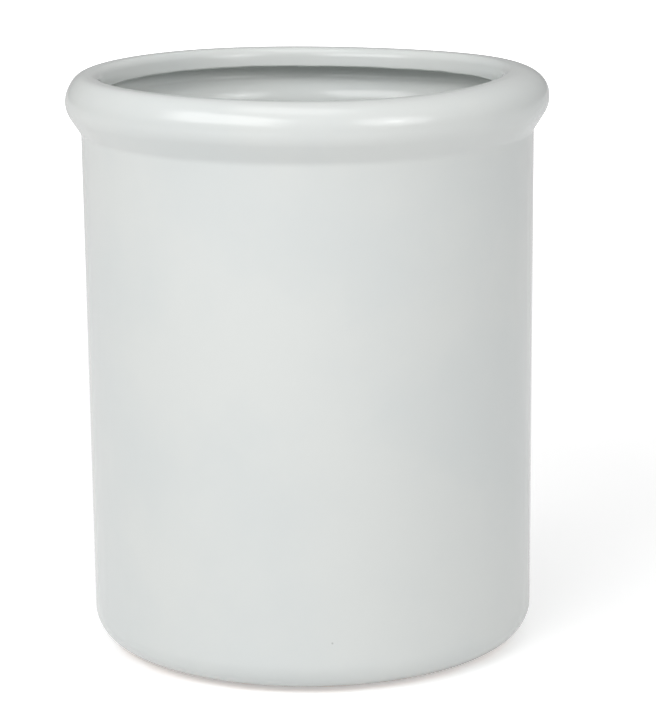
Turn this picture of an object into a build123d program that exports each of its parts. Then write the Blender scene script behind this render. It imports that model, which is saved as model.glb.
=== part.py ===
"""Glazed terracotta plant pot with a rolled rim, a drain bung and stick-on foot pads.

The pot is a straight, nearly cylindrical vessel cast in one piece, with a stout wall. The wall
flares out into a thick bead, which turns over the top and ends in a trimmed lip that hangs down
inside the mouth, with a groove behind it. The base stands on a bare clay foot ring round a
shallow recess, and a drain hole in the middle of the floor is closed by a rubber bung that pulls
out upwards. Four rubber pads under the foot ring lift the pot clear of the table.

Frame: millimetres, +Z up, origin on the table under the pot's axis.
"""

from build123d import *

import math
import os

# ---- Pot: outer shape -------------------------------------------------------------------------
overall_height = 241.0        # table to the top of the rim
rim_radius = 100.0            # outside of the rolled bead, at its widest
bead_overhang = 6.25          # how far the bead stands out from the wall
wall_draft = 0.6              # radius that the wall loses from the bead down to the base
base_corner_radius = 12.4     # round between the wall and the underside
cove_depth = 24.5             # rim top down to the corner where the wall starts to flare
cove_fillet = 4.5             # hollow of that corner
flare_angle = 32.0            # slope of the flare under the bead, from the vertical
bead_lower_fillet = 11.4      # round from the flare to the widest part of the bead
bead_shoulder_fillet = 11.1   # round from the widest part up to the crest

# ---- Pot: rolled lip --------------------------------------------------------------------------
bead_width = 16.6             # outside of the bead to the mouth
crest_fillet = 4.2            # round from the crest into the mouth
lip_drop = 8.2                # rim top down to the trimmed edge of the lip
lip_reach = 1.4               # how far the trimmed edge stands into the mouth
lip_thickness = 4.2           # across the trimmed edge
lip_edge_fillet = 0.7         # sponged edges of the trimmed lip

# ---- Pot: wall, floor and foot ----------------------------------------------------------------
wall_thickness = 9.0
throat_depth = 20.15          # rim top down to the corner where the inside opens under the lip
throat_slope = 45.0           # slope of the throat above that corner, from the vertical
throat_fillet = 12.0          # round of that corner
groove_roof = 5.0             # clay between the groove behind the lip and the crest
groove_lip_fillet = 2.0       # groove's roof, next to the lip
groove_side_fillet = 2.1      # groove's roof, next to the bead
groove_foot_fillet = 2.5      # groove's side, down to the throat
floor_thickness = 8.0
floor_corner_radius = 9.0     # inside, between the wall and the floor
foot_ring_width = 13.0
foot_recess_depth = 2.5       # underside inside the foot ring, above the foot
foot_recess_fillet = 1.5
drain_hole_radius = 11.0
drain_edge_fillet = 0.8

# ---- Foot pads --------------------------------------------------------------------------------
pad_count = 4
pad_radius = 5.5
pad_thickness = 1.2
pad_edge_fillet = 0.35
pad_start_angle = 45.0        # first pad, from +X

# ---- Drain bung -------------------------------------------------------------------------------
bung_clearance = 0.4          # radial gap between the stem's top and the drain hole
bung_flange_radius = 17.0
bung_flange_thickness = 2.6
bung_flange_fillet = 1.0
bung_stem_overhang = 1.4      # stem below the underside of the floor
bung_stem_taper = 0.9         # stem radius lost from top to bottom
bung_stem_fillet = 0.6
bung_groove_depth = 0.8       # shallow rings round the stem, which give as it is pushed in
bung_groove_width = 1.4
bung_groove_count = 2
bung_tab_width = 14.0         # finger tab
bung_tab_thickness = 3.6
bung_tab_height = 12.5
bung_tab_hole_radius = 2.8
bung_tab_edge_fillet = 0.9
bung_tab_root_fillet = 1.2

# ---- Radii and heights that several pieces share ----------------------------------------------
wall_top_radius = rim_radius - bead_overhang
wall_base_radius = wall_top_radius - wall_draft   # carried down to the plane of the foot
mouth_radius = rim_radius - bead_width
foot_z = pad_thickness                        # foot ring, on top of the pads
underside_z = foot_z + foot_recess_depth      # underside of the floor
floor_z = underside_z + floor_thickness       # floor inside the pot
foot_outer_radius = wall_base_radius - base_corner_radius
foot_inner_radius = foot_outer_radius - foot_ring_width
pad_circle_radius = foot_outer_radius - foot_ring_width / 2


def turned(corners):
    """A solid turned about Z from (r, z, fillet) corners; a fillet of 0 leaves the corner sharp."""
    section = make_face(Polyline([(r, z) for r, z, _ in corners], close=True))
    for r, z, radius in corners:
        if radius > 0:
            corner = section.vertices().sort_by_distance((r, z))[0]
            section = fillet(corner, radius)
    return revolve(Plane.XZ * section, Axis.Z, 360)


def eased(radius, room):
    """A fillet's radius, held back where its wall is too short for it."""
    return min(radius, 0.97 * room)


def pot_outer_corners():
    """Corners of the outside, from the axis under the base to the inside of the rim's crest."""
    lean = math.radians(flare_angle)
    cove_z = overall_height - cove_depth
    flare_rise = (rim_radius - wall_top_radius) / math.tan(lean)
    bead_side = cove_depth - flare_rise - bead_lower_fillet * math.tan(lean / 2)
    shoulder_fillet = eased(bead_shoulder_fillet, bead_side)
    # The round into the mouth fits what the shoulder leaves of the crest, and the lip's face.
    crest_room = min(bead_width - shoulder_fillet, lip_drop - 1.5 * lip_edge_fillet)
    mouth_turn = math.pi / 2 - math.atan(lip_reach / lip_drop)
    return [
        (0, underside_z, 0),
        (foot_inner_radius, underside_z, foot_recess_fillet),
        (foot_inner_radius, foot_z, 0),
        (wall_base_radius, foot_z, base_corner_radius),
        (wall_top_radius, cove_z, cove_fillet),
        (rim_radius, cove_z + flare_rise, bead_lower_fillet),
        (rim_radius, overall_height, shoulder_fillet),
        (mouth_radius, overall_height, eased(crest_fillet, crest_room / math.tan(mouth_turn / 2))),
    ]


def pot_inner_corners():
    """Corners of the inside, from the trimmed lip by the groove and the throat to the floor."""
    slope = math.radians(throat_slope)
    lip_z = overall_height - lip_drop
    lip_inner = mouth_radius - lip_reach
    lip_outer = lip_inner + lip_thickness
    groove_radius = rim_radius - wall_thickness
    groove_z = overall_height - groove_roof
    wall_inner_top = wall_top_radius - wall_thickness
    wall_inner_base = wall_base_radius - wall_thickness
    throat_z = overall_height - throat_depth
    groove_foot_z = throat_z + (groove_radius - wall_inner_top) / math.tan(slope)
    groove_side = groove_z - groove_foot_z - groove_foot_fillet * math.tan(slope / 2)
    groove_width = groove_radius - lip_outer
    lip_fillet = eased(groove_lip_fillet, min(lip_drop - groove_roof - lip_edge_fillet, groove_width / 2))
    side_fillet = eased(groove_side_fillet, min(groove_side, groove_width - lip_fillet))
    return [
        (lip_inner, lip_z, lip_edge_fillet),
        (lip_outer, lip_z, lip_edge_fillet),
        (lip_outer, groove_z, lip_fillet),
        (groove_radius, groove_z, side_fillet),
        (groove_radius, groove_foot_z, groove_foot_fillet),
        (wall_inner_top, throat_z, throat_fillet),
        (wall_inner_base, floor_z, floor_corner_radius),
        (0, floor_z, 0),
    ]


def pot_body():
    """The cast pot: one shell turned from its wall section, with the drain hole through it."""
    shell = turned(pot_outer_corners() + pot_inner_corners())
    hole = Pos(0, 0, floor_z - floor_thickness / 2) * Cylinder(drain_hole_radius, 2 * floor_thickness)
    pot = shell - hole
    rims = [
        edge
        for edge in pot.edges().filter_by(GeomType.CIRCLE)
        if abs(edge.radius - drain_hole_radius) < 1e-3
    ]
    return fillet(rims, drain_edge_fillet)


def drain_bung():
    """The rubber bung: a flange on the floor, a ringed tapering stem in the hole, a finger tab."""
    stem_top_radius = drain_hole_radius - bung_clearance
    stem_bottom_radius = stem_top_radius - bung_stem_taper
    stem_bottom_z = underside_z - bung_stem_overhang
    stem_length = floor_z - stem_bottom_z
    flange_top_z = floor_z + bung_flange_thickness

    plug = turned(
        [
            (0, stem_bottom_z, 0),
            (stem_bottom_radius, stem_bottom_z, bung_stem_fillet),
            (stem_top_radius, floor_z, 0),
            (bung_flange_radius, floor_z, 0),
            (bung_flange_radius, flange_top_z, bung_flange_fillet),
            (0, flange_top_z, 0),
        ]
    )
    for i in range(bung_groove_count):
        share = (i + 1) / (bung_groove_count + 1)
        groove_radius = stem_top_radius - bung_stem_taper * share
        ring = Torus(groove_radius + bung_groove_width / 2 - bung_groove_depth, bung_groove_width / 2)
        plug -= Pos(0, 0, floor_z - stem_length * share) * ring

    # Finger tab: an upright arch with a hole through it, its foot let into the flange.
    arch_radius = bung_tab_width / 2
    straight = bung_tab_height - arch_radius
    outline = Pos(0, straight / 2) * Rectangle(bung_tab_width, straight)
    outline += Pos(0, straight) * Circle(arch_radius)
    outline -= Pos(0, -bung_tab_width / 2) * Rectangle(2 * bung_tab_width, bung_tab_width)
    outline -= Pos(0, straight) * Circle(bung_tab_hole_radius)
    tab = extrude(Plane.XZ * outline, bung_tab_thickness / 2, both=True)
    tab = fillet(tab.edges().filter_by(GeomType.CIRCLE), bung_tab_edge_fillet)
    bung = plug + Pos(0, 0, flange_top_z) * tab
    roots = [
        edge
        for edge in bung.edges().filter_by(GeomType.LINE)
        if abs(edge.center().Z - flange_top_z) < 1e-3 and edge.length > bung_tab_width / 2
    ]
    return fillet(roots, bung_tab_root_fillet)


def foot_pad(index):
    """One stick-on pad, flat on top against the foot ring and eased round its lower edge."""
    angle = pad_start_angle + index * 360 / pad_count
    disc = Pos(0, 0, pad_thickness / 2) * Cylinder(pad_radius, pad_thickness)
    disc = fillet(disc.edges().group_by(Axis.Z)[0], pad_edge_fillet)
    return Rot(0, 0, angle) * Pos(pad_circle_radius, 0, 0) * disc


def main():
    os.makedirs("parts", exist_ok=True)
    pieces = {"pot_body": pot_body(), "drain_bung": drain_bung()}
    for index in range(pad_count):
        pieces[f"foot_pad_{index + 1}"] = foot_pad(index)
    for name, piece in pieces.items():
        export_step(piece, f"parts/{name}.step")


main()
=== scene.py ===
"""Glazed plant pot on a white sweep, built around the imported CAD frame.

The pot's body is turned again from the same sizes as its CAD solid, with more sections and with
the small unevenness of a cast and hand-trimmed pot. The bung and the pads are the CAD's own.
"""

import math

import bpy
from mathutils import Matrix, Vector, noise


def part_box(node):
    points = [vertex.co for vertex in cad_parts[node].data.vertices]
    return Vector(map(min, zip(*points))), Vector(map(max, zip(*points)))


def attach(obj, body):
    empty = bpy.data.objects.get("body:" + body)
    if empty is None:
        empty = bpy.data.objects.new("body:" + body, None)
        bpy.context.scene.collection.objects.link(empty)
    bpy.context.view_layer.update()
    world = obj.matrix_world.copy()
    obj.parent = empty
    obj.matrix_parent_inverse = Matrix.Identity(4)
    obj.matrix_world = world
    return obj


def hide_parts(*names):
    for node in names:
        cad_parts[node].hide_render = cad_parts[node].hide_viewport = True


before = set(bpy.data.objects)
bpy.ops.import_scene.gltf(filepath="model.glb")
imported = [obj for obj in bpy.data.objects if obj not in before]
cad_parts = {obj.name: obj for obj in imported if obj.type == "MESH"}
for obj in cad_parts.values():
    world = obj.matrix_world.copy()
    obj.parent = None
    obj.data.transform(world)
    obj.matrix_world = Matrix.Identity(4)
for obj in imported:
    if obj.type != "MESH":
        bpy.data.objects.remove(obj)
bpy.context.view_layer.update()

MM = 0.001
AROUND = 640                   # sections round the pot
OUTSIDE_CORNERS = 8            # the wall section's first corners, up to the crest
LIP_EDGE_CORNERS = (8, 9)
GROOVE_SIDE_CORNER = 11
CREST_CORNER = 6

# ---- Sizes of the pot, in millimetres, as in the CAD ----------------------------------------
RIM_RADIUS = 100.0
WALL_TOP_RADIUS = RIM_RADIUS - 6.25
WALL_BASE_RADIUS = WALL_TOP_RADIUS - 0.6
MOUTH_RADIUS = RIM_RADIUS - 16.6
BASE_CORNER_RADIUS = 12.4
COVE_DEPTH = 24.5
COVE_FILLET = 4.5
FLARE = math.radians(32.0)
BEAD_LOWER_FILLET = 11.4
BEAD_SHOULDER_FILLET = 11.1
CREST_FILLET = 4.2
LIP_DROP = 8.2
LIP_REACH = 1.4
LIP_THICKNESS = 4.2
LIP_EDGE_FILLET = 0.7
WALL = 9.0
THROAT_DEPTH = 20.15
THROAT_SLOPE = math.radians(45.0)
THROAT_FILLET = 12.0
GROOVE_ROOF = 5.0
GROOVE_LIP_FILLET = 2.0
GROOVE_SIDE_FILLET = 2.1
GROOVE_FOOT_FILLET = 2.5
FLOOR = 8.0
FLOOR_CORNER_RADIUS = 9.0
FOOT_RING_WIDTH = 13.0
FOOT_RECESS = 2.5
FOOT_RECESS_FILLET = 1.5
DRAIN_RADIUS = 11.0
DRAIN_EDGE_FILLET = 0.8

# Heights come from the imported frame.
body_low, body_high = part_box("pot_body")
FOOT_Z = body_low[2] / MM
TOP_Z = body_high[2] / MM
UNDERSIDE_Z = FOOT_Z + FOOT_RECESS
FLOOR_Z = UNDERSIDE_Z + FLOOR
FOOT_OUTER = WALL_BASE_RADIUS - BASE_CORNER_RADIUS
FOOT_INNER = FOOT_OUTER - FOOT_RING_WIDTH


# ---- The wall section ------------------------------------------------------------------------
def pot_section():
    """Corners (r, z, fillet) of the closed wall section; OUTSIDE_CORNERS of them come first."""
    cove_z = TOP_Z - COVE_DEPTH
    flare_rise = (RIM_RADIUS - WALL_TOP_RADIUS) / math.tan(FLARE)
    lip_r = MOUTH_RADIUS - LIP_REACH
    groove_r = RIM_RADIUS - WALL
    groove_z = TOP_Z - GROOVE_ROOF
    throat_z = TOP_Z - THROAT_DEPTH
    groove_foot_z = throat_z + (groove_r - WALL_TOP_RADIUS + WALL) / math.tan(THROAT_SLOPE)
    return [
        (DRAIN_RADIUS, UNDERSIDE_Z, DRAIN_EDGE_FILLET),
        (FOOT_INNER, UNDERSIDE_Z, FOOT_RECESS_FILLET),
        (FOOT_INNER, FOOT_Z, 0.3),
        (WALL_BASE_RADIUS, FOOT_Z, BASE_CORNER_RADIUS),
        (WALL_TOP_RADIUS, cove_z, COVE_FILLET),
        (RIM_RADIUS, cove_z + flare_rise, BEAD_LOWER_FILLET),
        (RIM_RADIUS, TOP_Z, BEAD_SHOULDER_FILLET),
        (MOUTH_RADIUS, TOP_Z, CREST_FILLET),
        (lip_r, TOP_Z - LIP_DROP, LIP_EDGE_FILLET),
        (lip_r + LIP_THICKNESS, TOP_Z - LIP_DROP, LIP_EDGE_FILLET),
        (lip_r + LIP_THICKNESS, groove_z, GROOVE_LIP_FILLET),
        (groove_r, groove_z, GROOVE_SIDE_FILLET),
        (groove_r, groove_foot_z, GROOVE_FOOT_FILLET),
        (WALL_TOP_RADIUS - WALL, throat_z, THROAT_FILLET),
        (WALL_BASE_RADIUS - WALL, FLOOR_Z, FLOOR_CORNER_RADIUS),
        (DRAIN_RADIUS, FLOOR_Z, DRAIN_EDGE_FILLET),
    ]


def rounded(corners, arc_step, run_step):
    """Points (r, z, corner index) along a closed polygon with its corners rounded."""
    points = []
    count = len(corners)
    for i, (r, z, radius) in enumerate(corners):
        here = Vector((r, z))
        back = (Vector(corners[i - 1][:2]) - here).normalized()
        ahead = (Vector(corners[(i + 1) % count][:2]) - here).normalized()
        half = back.angle(ahead) / 2
        centre = here + (back + ahead).normalized() * radius / math.sin(half)
        reach = radius / math.tan(half)
        start = here + back * reach - centre
        sweep = start.angle_signed(here + ahead * reach - centre)
        steps = max(4, math.ceil(abs(sweep) * radius / arc_step))
        for k in range(steps + 1):
            turned = Matrix.Rotation(-sweep * k / steps, 2) @ start
            points.append((*(centre + turned), i))
    # Long straight runs get points of their own, so that the wall can carry its unevenness.
    filled = []
    for a, b in zip(points, points[1:] + points[:1]):
        filled.append(a)
        run = math.hypot(b[0] - a[0], b[1] - a[1])
        cuts = int(run / run_step)
        for k in range(1, cuts + 1):
            t = k / (cuts + 1)
            filled.append((a[0] + (b[0] - a[0]) * t, a[1] + (b[1] - a[1]) * t, a[2]))
    return filled


def smooth(t):
    t = min(max(t, 0.0), 1.0)
    return t * t * (3 - 2 * t)


# ---- Unevenness of the cast pot, in millimetres ---------------------------------------------
MOUTH_SHIFT = (-2.37, -0.6)    # the hand-trimmed mouth sits a little off the axis
WARP_TWO = 0.50                # the rim's saddle, from the kiln
WARP_THREE = 0.39
WAVER = 0.10                   # slow waver of the wall
LIP_WAVER = 0.22               # of the lip's trimmed edge
RIM_REACH = 45.0               # how far down from the rim the saddle fades out


def uneven(r, z, corner, angle):
    """Where the section's point (r, z) comes to lie at an angle round the pot."""
    outside = corner < OUTSIDE_CORNERS
    x, y = r * math.cos(angle), r * math.sin(angle)
    if outside:
        shift = smooth((RIM_RADIUS - r) / 11.0) if corner >= CREST_CORNER else 0.0
    else:
        shift = smooth((RIM_RADIUS - WALL - r) / 9.0) if corner <= GROOVE_SIDE_CORNER else 0.0
    warp = WARP_TWO * (math.cos(2 * angle) - 1) + WARP_THREE * (math.cos(3 * angle) - 1)
    lift = warp * smooth((z - TOP_Z + RIM_REACH) / RIM_REACH)
    slow = noise.noise(Vector((x / 60, y / 60, z / 90)))
    edge = 0.0
    if corner in LIP_EDGE_CORNERS:
        edge = LIP_WAVER * noise.noise(Vector((x / 9, y / 9, 3.1)))
    inward = WAVER * (slow - 0.6) * smooth((z - FOOT_Z - 6.0) / 30.0)
    scale = (r + inward) / r
    return (
        x * scale + shift * MOUTH_SHIFT[0],
        y * scale + shift * MOUTH_SHIFT[1],
        z + lift + edge,
    )


def build_pot():
    """The pot's body as one closed mesh of quads."""
    section = rounded(pot_section(), arc_step=0.45, run_step=4.0)
    rings = len(section)
    verts = []
    for k in range(AROUND):
        angle = 2 * math.pi * k / AROUND
        verts.extend(uneven(r, z, corner, angle) for r, z, corner in section)
    faces = []
    for k in range(AROUND):
        a, b = k * rings, (k + 1) % AROUND * rings
        for j in range(rings):
            n = (j + 1) % rings
            faces.append((a + j, b + j, b + n, a + n))
    mesh = bpy.data.meshes.new("pot_shell")
    mesh.from_pydata([Vector(v) * MM for v in verts], [], faces)
    mesh.shade_smooth()
    mesh.update()
    pot = bpy.data.objects.new("pot_shell", mesh)
    bpy.context.scene.collection.objects.link(pot)
    return pot


# ---- Materials -------------------------------------------------------------------------------
class Nodes:
    """Short ways to add shader nodes to one material."""

    def __init__(self, name):
        self.material = bpy.data.materials.new(name)
        self.material.use_nodes = True
        self.tree = self.material.node_tree
        self.shader = self.tree.nodes["Principled BSDF"]

    def add(self, kind, **settings):
        node = self.tree.nodes.new(kind)
        for key, value in settings.items():
            setattr(node, key, value)
        return node

    def link(self, source, target):
        self.tree.links.new(source, target)

    def position(self):
        return self.add("ShaderNodeTexCoord").outputs["Object"]

    def noise(self, scale, detail=3.0, roughness=0.5, stretch=None):
        node = self.add("ShaderNodeTexNoise")
        node.inputs["Scale"].default_value = scale
        node.inputs["Detail"].default_value = detail
        node.inputs["Roughness"].default_value = roughness
        place = self.position()
        if stretch:
            mapping = self.add("ShaderNodeMapping")
            mapping.inputs["Scale"].default_value = stretch
            self.link(place, mapping.inputs["Vector"])
            place = mapping.outputs["Vector"]
        self.link(place, node.inputs["Vector"])
        return node.outputs["Fac"]

    def ramp(self, source, low, high, a=0.0, b=1.0):
        """Maps source from low..high to a..b, clamped and eased."""
        node = self.add("ShaderNodeMapRange", interpolation_type="SMOOTHSTEP")
        node.inputs["From Min"].default_value = low
        node.inputs["From Max"].default_value = high
        node.inputs["To Min"].default_value = a
        node.inputs["To Max"].default_value = b
        self.link(source, node.inputs["Value"])
        return node.outputs["Result"]

    def math(self, operation, a, b=None):
        node = self.add("ShaderNodeMath", operation=operation)
        for socket, value in zip(node.inputs, (a, b)):
            if value is None:
                continue
            if isinstance(value, (int, float)):
                socket.default_value = value
            else:
                self.link(value, socket)
        return node.outputs["Value"]

    def mix(self, factor, a, b):
        """Blends two colours, each a colour or an output."""
        node = self.add("ShaderNodeMix", data_type="RGBA")
        self.link(factor, node.inputs["Factor"])
        for socket, value in zip((node.inputs[6], node.inputs[7]), (a, b)):
            if isinstance(value, tuple):
                socket.default_value = (*value, 1.0)
            else:
                self.link(value, socket)
        return node.outputs[2]

    def bump(self, height, strength, distance):
        node = self.add("ShaderNodeBump")
        node.inputs["Strength"].default_value = strength
        node.inputs["Distance"].default_value = distance
        self.link(height, node.inputs["Height"])
        return node.outputs["Normal"]


def linear(red, green, blue):
    """A colour as seen on a screen, 0 to 255, as the shader wants it."""
    return tuple(
        c / 12.92 if c <= 0.04045 else ((c + 0.055) / 1.055) ** 2.4
        for c in (red / 255, green / 255, blue / 255)
    )


def glaze_material():
    """Glossy pale glaze over clay, which shows bare where the foot was wiped before firing."""
    n = Nodes("glaze")
    cloud = n.noise(14.0, 4.0, 0.55)
    fine = n.noise(420.0, 2.0, 0.6)
    tone = n.ramp(cloud, 0.35, 0.65)
    glaze = n.mix(tone, linear(221, 225, 224), linear(225, 228, 226))
    # Pinholes and specks, a few to the hand's breadth.
    cells = n.add("ShaderNodeTexVoronoi", feature="F1")
    cells.inputs["Scale"].default_value = 55.0
    n.link(n.position(), cells.inputs["Vector"])
    chosen = n.ramp(n.noise(31.0, 1.0), 0.70, 0.72)
    speck = n.math("MULTIPLY", n.ramp(cells.outputs["Distance"], 0.045, 0.02), chosen)
    glaze = n.mix(n.math("MULTIPLY", speck, 0.7), glaze, linear(140, 144, 142))
    # The foot: bare clay below a slightly uneven glaze line, inside the base's round.
    place = n.add("ShaderNodeSeparateXYZ")
    n.link(n.position(), place.inputs["Vector"])
    wander = n.math("MULTIPLY", n.math("SUBTRACT", n.noise(60.0, 2.0), 0.5), 0.0022)
    level = n.math("ADD", place.outputs["Z"], wander)
    bare = n.ramp(level, 0.0026, 0.0021)
    under = n.ramp(level, 0.0050, 0.0046)
    radius = n.math("SQRT", n.math("ADD", n.math("MULTIPLY", place.outputs["X"], place.outputs["X"]),
                                   n.math("MULTIPLY", place.outputs["Y"], place.outputs["Y"])))
    inside = n.ramp(radius, 0.0700, 0.0690)
    clay_mask = n.math("MAXIMUM", bare, n.math("MULTIPLY", under, inside))
    bore = n.math("MULTIPLY", n.ramp(radius, 0.0113, 0.0111), n.ramp(level, 0.0100, 0.0094))
    clay_mask = n.math("MAXIMUM", clay_mask, bore)
    grain = n.noise(900.0, 3.0, 0.7)
    clay = n.mix(n.ramp(grain, 0.3, 0.7), linear(186, 156, 132), linear(202, 174, 150))
    n.link(n.mix(clay_mask, glaze, clay), n.shader.inputs["Base Color"])
    rough = n.math("ADD", 0.025, n.math("MULTIPLY", n.ramp(fine, 0.3, 0.7), 0.02))
    n.link(n.math("ADD", rough, n.math("MULTIPLY", clay_mask, 0.75)), n.shader.inputs["Roughness"])
    n.shader.inputs["IOR"].default_value = 1.5
    waves = n.noise(34.0, 2.0, 0.5)
    relief = n.math("ADD", n.math("MULTIPLY", waves, 0.25), n.math("MULTIPLY", fine, 0.004))
    relief = n.math("SUBTRACT", relief, n.math("MULTIPLY", speck, 0.5))
    relief = n.math("ADD", relief, n.math("MULTIPLY", clay_mask, n.math("MULTIPLY", grain, 0.5)))
    n.link(n.bump(relief, 0.35, 0.0003), n.shader.inputs["Normal"])
    return n.material


def rubber_material(name, dark, light, grain_scale):
    n = Nodes(name)
    n.link(n.mix(n.ramp(n.noise(90.0, 4.0), 0.35, 0.65), dark, light), n.shader.inputs["Base Color"])
    grain = n.noise(grain_scale, 2.0, 0.6)
    n.link(n.ramp(grain, 0.3, 0.7, 0.55, 0.75), n.shader.inputs["Roughness"])
    n.link(n.bump(grain, 0.4, 0.0001), n.shader.inputs["Normal"])
    return n.material


# ---- The object ------------------------------------------------------------------------------
pot = build_pot()
pot.data.materials.append(glaze_material())
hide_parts("pot_body")
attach(pot, "pot")

bung_rubber = rubber_material("bung_rubber", linear(52, 53, 54), linear(66, 67, 68), 700.0)
pad_rubber = rubber_material("pad_rubber", linear(120, 122, 122), linear(134, 136, 136), 900.0)
for node_name, material in [("drain_bung", bung_rubber)] + [
    (f"foot_pad_{i}", pad_rubber) for i in range(1, 5)
]:
    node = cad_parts[node_name]
    for slot in node.material_slots:
        slot.material = material


# ---- Floor, world, lamps ---------------------------------------------------------------------
def build_floor():
    half = 6.0
    corners = [(-half, -half, 0), (half, -half, 0), (half, half, 0), (-half, half, 0)]
    mesh = bpy.data.meshes.new("floor")
    mesh.from_pydata(corners, [], [(0, 1, 2, 3)])
    floor = bpy.data.objects.new("floor", mesh)
    bpy.context.scene.collection.objects.link(floor)
    n = Nodes("floor_white")
    n.shader.inputs["Base Color"].default_value = (*linear(240, 240, 240), 1.0)
    n.shader.inputs["Roughness"].default_value = 0.6
    n.shader.inputs["Specular IOR Level"].default_value = 0.1
    rays = n.add("ShaderNodeLightPath")
    reflected = n.math("MAXIMUM", rays.outputs["Is Glossy Ray"], rays.outputs["Is Transmission Ray"])
    n.shader.inputs["Emission Color"].default_value = (1, 1, 1, 1)
    # The floor far behind the pot is as white as the backdrop.
    reach = n.add("ShaderNodeVectorMath", operation="LENGTH")
    n.link(n.position(), reach.inputs[0])
    glow = n.ramp(reach.outputs["Value"], 0.3, 1.6, 0.46, 1.2)
    seen = n.math("ADD", n.math("MULTIPLY", rays.outputs["Is Camera Ray"], glow),
                  n.math("MULTIPLY", reflected, 0.30))
    n.link(seen, n.shader.inputs["Emission Strength"])
    mesh.materials.append(n.material)


def build_world():
    world = bpy.data.worlds.new("studio")
    bpy.context.scene.world = world
    world.use_nodes = True
    tree = world.node_tree
    background = tree.nodes["Background"]
    background.inputs["Color"].default_value = (1, 1, 1, 1)
    rays = tree.nodes.new("ShaderNodeLightPath")
    seen = tree.nodes.new("ShaderNodeMath")
    seen.operation = "MAXIMUM"
    tree.links.new(rays.outputs["Is Camera Ray"], seen.inputs[0])
    tree.links.new(rays.outputs["Is Transmission Ray"], seen.inputs[1])
    strength = tree.nodes.new("ShaderNodeMapRange")
    strength.inputs["To Min"].default_value = 0.36
    strength.inputs["To Max"].default_value = 1.0
    tree.links.new(seen.outputs["Value"], strength.inputs["Value"])
    tree.links.new(strength.outputs["Result"], background.inputs["Strength"])


def place_lamp(name, azimuth, elevation, distance, size, radiance, aim, ribs=0):
    """An area lamp seen from the pot at an azimuth right of the camera and an elevation.

    Its face is bright in the middle and fades towards its edge, as a softbox does. Ribs make it
    a shoot-through umbrella: a star of panels round a bright hub.
    """
    az, el = math.radians(azimuth), math.radians(elevation)
    away = Vector((math.sin(az) * math.cos(el), -math.cos(az) * math.cos(el), math.sin(el)))
    data = bpy.data.lights.new(name, "AREA")
    data.shape = "DISK" if ribs else "RECTANGLE"
    data.size, data.size_y = size
    area = size[0] * size[0] * math.pi / 4 if ribs else size[0] * size[1]
    data.energy = radiance * math.pi * area
    lamp = bpy.data.objects.new(name, data)
    lamp.location = Vector(aim) + away * distance
    lamp.rotation_euler = away.to_track_quat("Z", "Y").to_euler()
    bpy.context.scene.collection.objects.link(lamp)

    data.use_nodes = True
    tree = data.node_tree

    def calc(operation, a, b=None):
        node = tree.nodes.new("ShaderNodeMath")
        node.operation = operation
        for socket, value in zip(node.inputs, (a, b)):
            if isinstance(value, (int, float)):
                socket.default_value = value
            elif value is not None:
                tree.links.new(value, socket)
        return node.outputs["Value"]

    def fade(t, start, end):
        node = tree.nodes.new("ShaderNodeMapRange")
        node.interpolation_type = "SMOOTHSTEP"
        node.inputs["From Min"].default_value = start
        node.inputs["From Max"].default_value = end
        tree.links.new(t, node.inputs["Value"])
        return node.outputs["Result"]

    split = tree.nodes.new("ShaderNodeSeparateXYZ")
    geometry = tree.nodes.new("ShaderNodeNewGeometry")
    tree.links.new(geometry.outputs["Parametric"], split.inputs["Vector"])
    u = calc("MULTIPLY", calc("SUBTRACT", split.outputs["X"], 0.5), 2.0)
    v = calc("MULTIPLY", calc("SUBTRACT", split.outputs["Y"], 0.5), 2.0)
    if ribs:
        reach = calc("SQRT", calc("ADD", calc("MULTIPLY", u, u), calc("MULTIPLY", v, v)))
        spoke = calc("COSINE", calc("MULTIPLY", calc("ARCTAN2", v, u), ribs))
        panel = calc("ADD", 1.0, calc("MULTIPLY", spoke, 0.35))
        hub = calc("MULTIPLY", fade(reach, 0.35, 0.0), 2.2)
        level = calc("ADD", calc("MULTIPLY", panel, fade(reach, 1.0, 0.55)), hub)
    else:
        across = fade(calc("ABSOLUTE", u), 1.0, 0.45)
        along = fade(calc("ABSOLUTE", v), 1.0, 0.45)
        level = calc("MULTIPLY", calc("MULTIPLY", across, along), 1.6)
    tree.links.new(level, tree.nodes["Emission"].inputs["Strength"])


def build_camera():
    """A long lens a little above the rim, at the viewing angle of the product picture."""
    elevation = math.radians(13.058)
    roll = math.radians(-0.560)
    distance = 1.2053
    target = Vector((0.00748, 0.0, 0.11733))
    data = bpy.data.cameras.new("camera")
    data.lens = 142.6
    data.sensor_width = 36.0
    camera = bpy.data.objects.new("camera", data)
    ahead = Vector((0.0, math.cos(elevation), -math.sin(elevation)))
    camera.location = target - ahead * distance
    turn = Matrix.Rotation(math.pi / 2 - elevation, 4, "X") @ Matrix.Rotation(roll, 4, "Z")
    camera.rotation_euler = turn.to_euler()
    bpy.context.scene.collection.objects.link(camera)
    bpy.context.scene.camera = camera


rim = (0.0, 0.0, TOP_Z * MM)
build_floor()
build_world()
place_lamp("softbox_left", -42.0, 34.0, 1.5, (1.9, 1.15), 2.15, rim)
place_lamp("umbrella_right", 43.0, 28.0, 1.5, (1.15, 1.15), 2.35, rim, ribs=8)
place_lamp("overhead", -20.0, 82.0, 1.6, (1.2, 1.2), 1.0, rim)
build_camera()
bpy.context.scene.view_settings.view_transform = "Standard"
